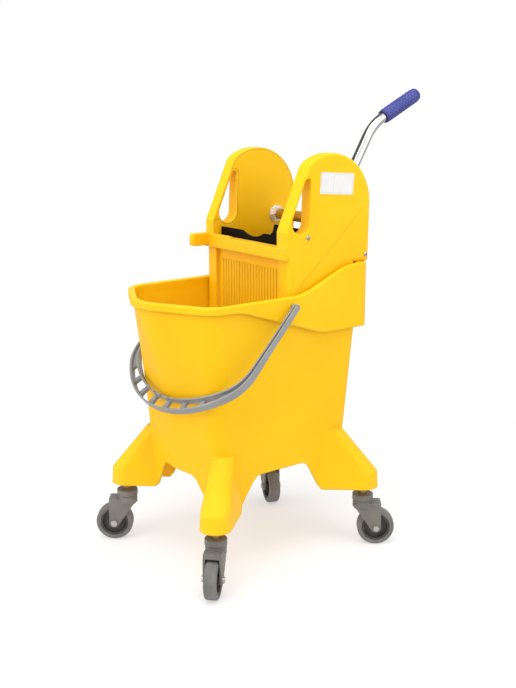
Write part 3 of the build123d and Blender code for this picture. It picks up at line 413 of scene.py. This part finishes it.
def pickVerts(piece, test):
    clearPick("VERT")
    for vert in piece.data.vertices:
        vert.select = test(vert.co)
    bpy.ops.object.mode_set(mode="EDIT")


def pickEdges(piece, test):
    clearPick("EDGE")
    verts = piece.data.vertices
    for edge in piece.data.edges:
        edge.select = test(*(verts[i].co for i in edge.vertices))
    bpy.ops.object.mode_set(mode="EDIT")


def pickEnd(piece, way):
    # the end faces that look up (way 1) or down (way -1)
    squareOn = 0.9
    clearPick("FACE")
    for face in piece.data.polygons:
        face.select = face.normal.z * way > squareOn
    bpy.ops.object.mode_set(mode="EDIT")


def selectOnly(*pieces):
    bpy.ops.object.select_all(action="DESELECT")
    for piece in pieces:
        piece.select_set(True)
    bpy.context.view_layer.objects.active = pieces[0]


def settle(piece, place, turn=(0, 0, 0)):
    # the piece's place goes into its mesh
    bpy.ops.object.mode_set(mode="OBJECT")
    selectOnly(piece)
    piece.location = place
    piece.rotation_euler = turn
    bpy.ops.object.transform_apply(location=True, rotation=True, scale=True)


# blue lever grip with a raised chequer
grip = {
    "start": (0.0670, 0.29986, 0.85127), "lean": (-math.radians(64.0), 0, 0), "length": 0.102,
    "radius": 0.0134, "raise": 0.0010, "rings": 42, "sides": 48,
    "plainEnds": 2, "cellRings": 2, "cellSides": 3,
    "endRound": 0.0065, "endSegments": 6, "wall": 0.0027, "boreDepth": 0.004, "smoothAngle": 50,
}


def makeGrip():
    bpy.ops.object.select_all(action="DESELECT")
    bpy.ops.mesh.primitive_cylinder_add(vertices=grip["sides"], radius=grip["radius"], depth=grip["length"],
                                        location=(0, 0, grip["length"] / 2))
    piece = bpy.context.object
    piece.name = "leverGripSleeve"
    bpy.ops.object.transform_apply(location=True)
    pickEnd(piece, 1)
    bpy.ops.mesh.bevel(offset=grip["endRound"], segments=grip["endSegments"], affect="EDGES")
    pickEdges(piece, lambda a, b: abs(a.z - b.z) > grip["length"] / 2)
    bpy.ops.mesh.subdivide(number_cuts=grip["rings"] - 1)
    step = (grip["length"] - grip["endRound"]) / grip["rings"]

    def isRaised(co):
        ring = round(co.z / step)
        side = round(math.atan2(co.y, co.x) / (2 * math.pi) * grip["sides"])
        inField = grip["plainEnds"] <= ring <= grip["rings"] - grip["plainEnds"]
        return inField and (ring // grip["cellRings"] + side // grip["cellSides"]) % 2 == 0
    pickVerts(piece, isRaised)
    bpy.ops.transform.shrink_fatten(value=grip["raise"])
    pickEnd(piece, -1)
    bpy.ops.mesh.inset(thickness=grip["wall"])
    bpy.ops.mesh.extrude_region_move(TRANSFORM_OT_translate={"value": (0, 0, grip["boreDepth"])})
    bpy.ops.object.mode_set(mode="OBJECT")
    bpy.ops.object.shade_smooth_by_angle(angle=math.radians(grip["smoothAngle"]))
    settle(piece, grip["start"], grip["lean"])
    return piece


gripLook = {
    "main": (0.053, 0.064, 0.300), "deep": (0.041, 0.050, 0.250), "pale": (0.076, 0.090, 0.350),
    "wearAndEdgeHighlight": (0.105, 0.118, 0.340), "recessShade": (0.024, 0.029, 0.155), "recessShadeAmount": 0.75,
    "cloudScale": 22.0, "fleckScale": 260.0, "fleckAmount": 0.35,
    "edgeRadius": 0.0004, "edgeHighlightAmount": 0.40, "scratchAmount": 0.08,
    "roughLow": 0.42, "roughHigh": 0.58, "specular": 0.45,
    "waveStrength": 0.05, "grainScale": 1200.0, "grainStrength": 0.18,
}


def shadeRecess(finish):
    # painted shade: the chequer's low cells are darkened
    tree = finish.node_tree
    across = put(tree, "VectorMath", {1: (1, 1, 0)}, operation="MULTIPLY")
    join(tree, objectPlace(tree, grip["start"], grip["lean"]), across.inputs[0])
    out = put(tree, "VectorMath", operation="LENGTH")
    join(tree, across.outputs["Vector"], out.inputs[0])
    cellHeight = (grip["radius"] + grip["raise"], grip["radius"])
    low = remap(tree, out.outputs["Value"], cellHeight, high=gripLook["recessShadeAmount"])
    return paintOver(finish, low, gripLook["recessShade"])


gripPiece = makeGrip()
gripPiece.data.materials.append(shadeRecess(mouldedPlastic("gripVinyl", gripLook)))
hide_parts("lever_grip")
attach(gripPiece, "press")
print("grip done")

# blank paper label on the near ear
label = {
    "middle": (0.1301, 0.1234, 0.7333), "width": 0.083, "height": 0.0405, "tilt": math.radians(-4.5),
    "thick": 0.00025, "corner": 0.0015, "cornerSegments": 4,
    "frameHalf": (0.0390, 0.0178), "divider": -0.0085, "line": 0.0004, "lineSoft": 0.02, "ruler": 0.001,
}


def makeLabel():
    bpy.ops.object.select_all(action="DESELECT")
    bpy.ops.mesh.primitive_plane_add(size=1)
    piece = bpy.context.object
    piece.name = "earLabel"
    piece.scale = (label["width"], label["height"], 1)
    bpy.ops.object.transform_apply(scale=True)
    bpy.ops.object.mode_set(mode="EDIT")
    bpy.ops.mesh.select_all(action="SELECT")
    bpy.ops.mesh.bevel(offset=label["corner"], segments=label["cornerSegments"], affect="VERTICES")
    bpy.ops.mesh.extrude_region_move(TRANSFORM_OT_translate={"value": (0, 0, label["thick"])})
    bpy.ops.mesh.select_all(action="SELECT")
    bpy.ops.mesh.normals_make_consistent(inside=False)
    settle(piece, (0, 0, 0), (0, 0, label["tilt"]))
    settle(piece, label["middle"], (math.pi / 2, 0, math.pi / 2))
    return piece


labelLook = {
    "main": (0.740, 0.736, 0.720), "deep": (0.710, 0.706, 0.690), "pale": (0.770, 0.766, 0.752),
    "wearAndEdgeHighlight": (0.560, 0.550, 0.520), "ink": (0.330, 0.330, 0.326),
    "cloudScale": 30.0, "fleckScale": 420.0, "fleckAmount": 0.30,
    "edgeRadius": 0.0001, "edgeHighlightAmount": 0.30, "scratchAmount": 0.05,
    "roughLow": 0.30, "roughHigh": 0.42, "specular": 0.45,
    "waveStrength": 0.06, "grainScale": 1600.0, "grainStrength": 0.10,
}


def reach(tree, value, middle, half):
    # 0 at a strip's edges, rising to 1 one ruler's length inside them
    away = put(tree, "Math", {1: middle}, operation="SUBTRACT")
    join(tree, value, away.inputs[0])
    size = put(tree, "Math", operation="ABSOLUTE")
    join(tree, away.outputs["Value"], size.inputs[0])
    return remap(tree, size.outputs["Value"], (half, half - label["ruler"]))


def ruleLabel(finish):
    # a blank form: one thin frame and one thin divider
    tree = finish.node_tree
    place = put(tree, "SeparateXYZ")
    join(tree, objectPlace(tree, label["middle"], (label["tilt"], 0, 0)), place.inputs["Vector"])
    halfWide, halfHigh = label["frameHalf"]
    across = reach(tree, place.outputs["Y"], 0.0, halfWide)
    up = reach(tree, place.outputs["Z"], 0.0, halfHigh)
    inside = combine(tree, across, up, "MINIMUM")
    width, soft = label["line"] / label["ruler"], label["lineSoft"]
    starts = [(0.0, 0.0), (soft, 1.0)]
    frameLine = ramp(tree, inside, starts + [(width, 1.0), (width + soft, 0.0)])
    divider = reach(tree, place.outputs["Y"], label["divider"], label["line"] / 2)
    divider = combine(tree, ramp(tree, divider, starts), ramp(tree, inside, starts))
    return paintOver(finish, combine(tree, frameLine, divider, "MAXIMUM"), labelLook["ink"])


labelPiece = makeLabel()
labelPiece.data.materials.append(ruleLabel(mouldedPlastic("labelPaper", labelLook)))
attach(labelPiece, "wringer")
print("label done")

# domed cross-head screws on the outer faces of the ears
screws = {
    "side": 0.1300, "places": ((0.0527, 0.6360), (0.2000, 0.5920)), "radius": 0.0046, "height": 0.0023,
    "sides": 40, "dome": 0.0017, "domeSegments": 6, "shank": 0.0022, "shankLength": 0.010,
    "slotLength": 0.0050, "slotWidth": 0.0011, "slotDepth": 0.0012, "smoothAngle": 35,
}


def makeScrew():
    bpy.ops.object.select_all(action="DESELECT")
    bpy.ops.mesh.primitive_cylinder_add(vertices=screws["sides"], radius=screws["radius"],
                                        depth=screws["height"], location=(0, 0, screws["height"] / 2))
    piece = bpy.context.object
    bpy.ops.object.transform_apply(location=True)
    pickEnd(piece, 1)
    bpy.ops.mesh.bevel(offset=screws["dome"], segments=screws["domeSegments"], affect="EDGES")
    pickEnd(piece, -1)
    bpy.ops.mesh.inset(thickness=screws["radius"] - screws["shank"])
    bpy.ops.mesh.extrude_region_move(TRANSFORM_OT_translate={"value": (0, 0, -screws["shankLength"])})
    bpy.ops.object.mode_set(mode="OBJECT")
    for turn in (0, math.pi / 2):
        bpy.ops.object.select_all(action="DESELECT")
        bpy.ops.mesh.primitive_cube_add(size=1, location=(0, 0, screws["height"]), rotation=(0, 0, turn))
        cutter = bpy.context.object
        cutter.scale = (screws["slotLength"], screws["slotWidth"], 2 * screws["slotDepth"])
        bpy.ops.object.transform_apply(location=True, rotation=True, scale=True)
        selectOnly(piece)
        slot = piece.modifiers.new("crossRecess", "BOOLEAN")
        slot.operation = "DIFFERENCE"
        slot.object = cutter
        bpy.ops.object.modifier_apply(modifier=slot.name)
        bpy.data.objects.remove(cutter)
    bpy.ops.object.shade_smooth_by_angle(angle=math.radians(screws["smoothAngle"]))
    return piece


def makeScrewSet():
    first = makeScrew()
    copies = []
    for side in (-1, 1):
        for y, z in screws["places"]:
            selectOnly(first)
            bpy.ops.object.duplicate(linked=False)
            copy = bpy.context.object
            settle(copy, (side * screws["side"], y, z), (0, side * math.pi / 2, 0))
            copies.append(copy)
    bpy.data.objects.remove(first)
    selectOnly(*copies)
    bpy.ops.object.join()
    copies[0].name = "wringerScrewSet"
    return copies[0]


screwPiece = makeScrewSet()
screwPiece.data.materials.append(steelFinish)
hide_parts("wringer_screws")
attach(screwPiece, "wringer")
print("screws done")

# pale floor and soft studio light
studio = {
    "floorRadius": 14.0, "floorSides": 96, "floorColour": (0.88, 0.88, 0.88, 1), "floorRough": 0.75,
    "paperStart": 0.15, "paperFull": 1.0, "paperLeast": 0.40,
    "paper": (1.0, 1.0, 1.0), "paperInChrome": (0.50, 0.48, 0.44), "roomBright": (0.95, 0.95, 0.95),
    "roomDim": (0.13, 0.125, 0.112), "dimTowards": (-0.664, -0.498, 0.554), "dimEdge": 0.38, "dimFull": 0.54,
    "lightAim": (0, 0, 0.45),
    "lights": (
        {"name": "keyLight", "place": (0.5, -2.7, 2.1), "size": 2.0, "power": 22},
        {"name": "fillLight", "place": (-1.6, -2.4, 0.7), "size": 1.6, "power": 15},
        {"name": "sideLight", "place": (2.8, 0.9, 1.7), "size": 2.0, "power": 15},
        {"name": "topLight", "place": (0.6, -0.6, 3.1), "size": 1.8, "power": 43},
    ),
}
bpy.ops.object.select_all(action="DESELECT")
bpy.ops.mesh.primitive_circle_add(vertices=studio["floorSides"], radius=studio["floorRadius"],
                                  fill_type="NGON")
floor = bpy.context.object
floor.name = "paleFloor"
floorFinish, floorTree, floorSkin = startFinish("floorPaint")
floorSkin.inputs["Base Color"].default_value = studio["floorColour"]
floorSkin.inputs["Roughness"].default_value = studio["floorRough"]
spread = put(floorTree, "VectorMath", operation="LENGTH")
join(floorTree, objectPlace(floorTree), spread.inputs[0])
paper = put(floorTree, "Emission")
mirrored = put(floorTree, "LightPath").outputs["Is Glossy Ray"]
paperShade = blendColour(floorTree, mirrored, studio["paper"], studio["paperInChrome"])
join(floorTree, paperShade, paper.inputs["Color"])
fade = put(floorTree, "MixShader")
paperBand = (studio["paperStart"], studio["paperFull"])
whiter = remap(floorTree, spread.outputs["Value"], paperBand, studio["paperLeast"])
join(floorTree, whiter, fade.inputs[0])
join(floorTree, floorSkin.outputs["BSDF"], fade.inputs[1])
join(floorTree, paper.outputs["Emission"], fade.inputs[2])
join(floorTree, fade.outputs["Shader"], floorTree.nodes["Material Output"].inputs["Surface"])
floor.data.materials.append(floorFinish)
for lamp in studio["lights"]:
    bpy.ops.object.light_add(type="AREA", location=lamp["place"],
                             rotation=aimFrom(lamp["place"], studio["lightAim"]))
    bpy.context.object.name = lamp["name"]
    bpy.context.object.data.size = lamp["size"]
    bpy.context.object.data.energy = lamp["power"]

# a white room, with one side that only reflections see as dim: the chrome's dark stripe
world = bpy.data.worlds.new("studioWorld")
bpy.context.scene.world = world
world.use_nodes = True
room = world.node_tree
room.nodes.clear()
facing = put(room, "VectorMath", {1: studio["dimTowards"]}, operation="DOT_PRODUCT")
join(room, put(room, "TexCoord").outputs["Generated"], facing.inputs[0])
path = put(room, "LightPath")
dim = remap(room, facing.outputs["Value"], (studio["dimEdge"], studio["dimFull"]))
dim = combine(room, dim, path.outputs["Is Glossy Ray"])
roomLight = put(room, "Background")
join(room, blendColour(room, dim, studio["roomBright"], studio["roomDim"]), roomLight.inputs["Color"])
backdrop = put(room, "Background", {"Color": (*studio["paper"], 1)})
seen = put(room, "MixShader")
join(room, path.outputs["Is Camera Ray"], seen.inputs[0])
join(room, roomLight.outputs["Background"], seen.inputs[1])
join(room, backdrop.outputs["Background"], seen.inputs[2])
join(room, seen.outputs["Shader"], put(room, "OutputWorld").inputs["Surface"])
bpy.context.scene.view_settings.view_transform = "Standard"
print("studio done")
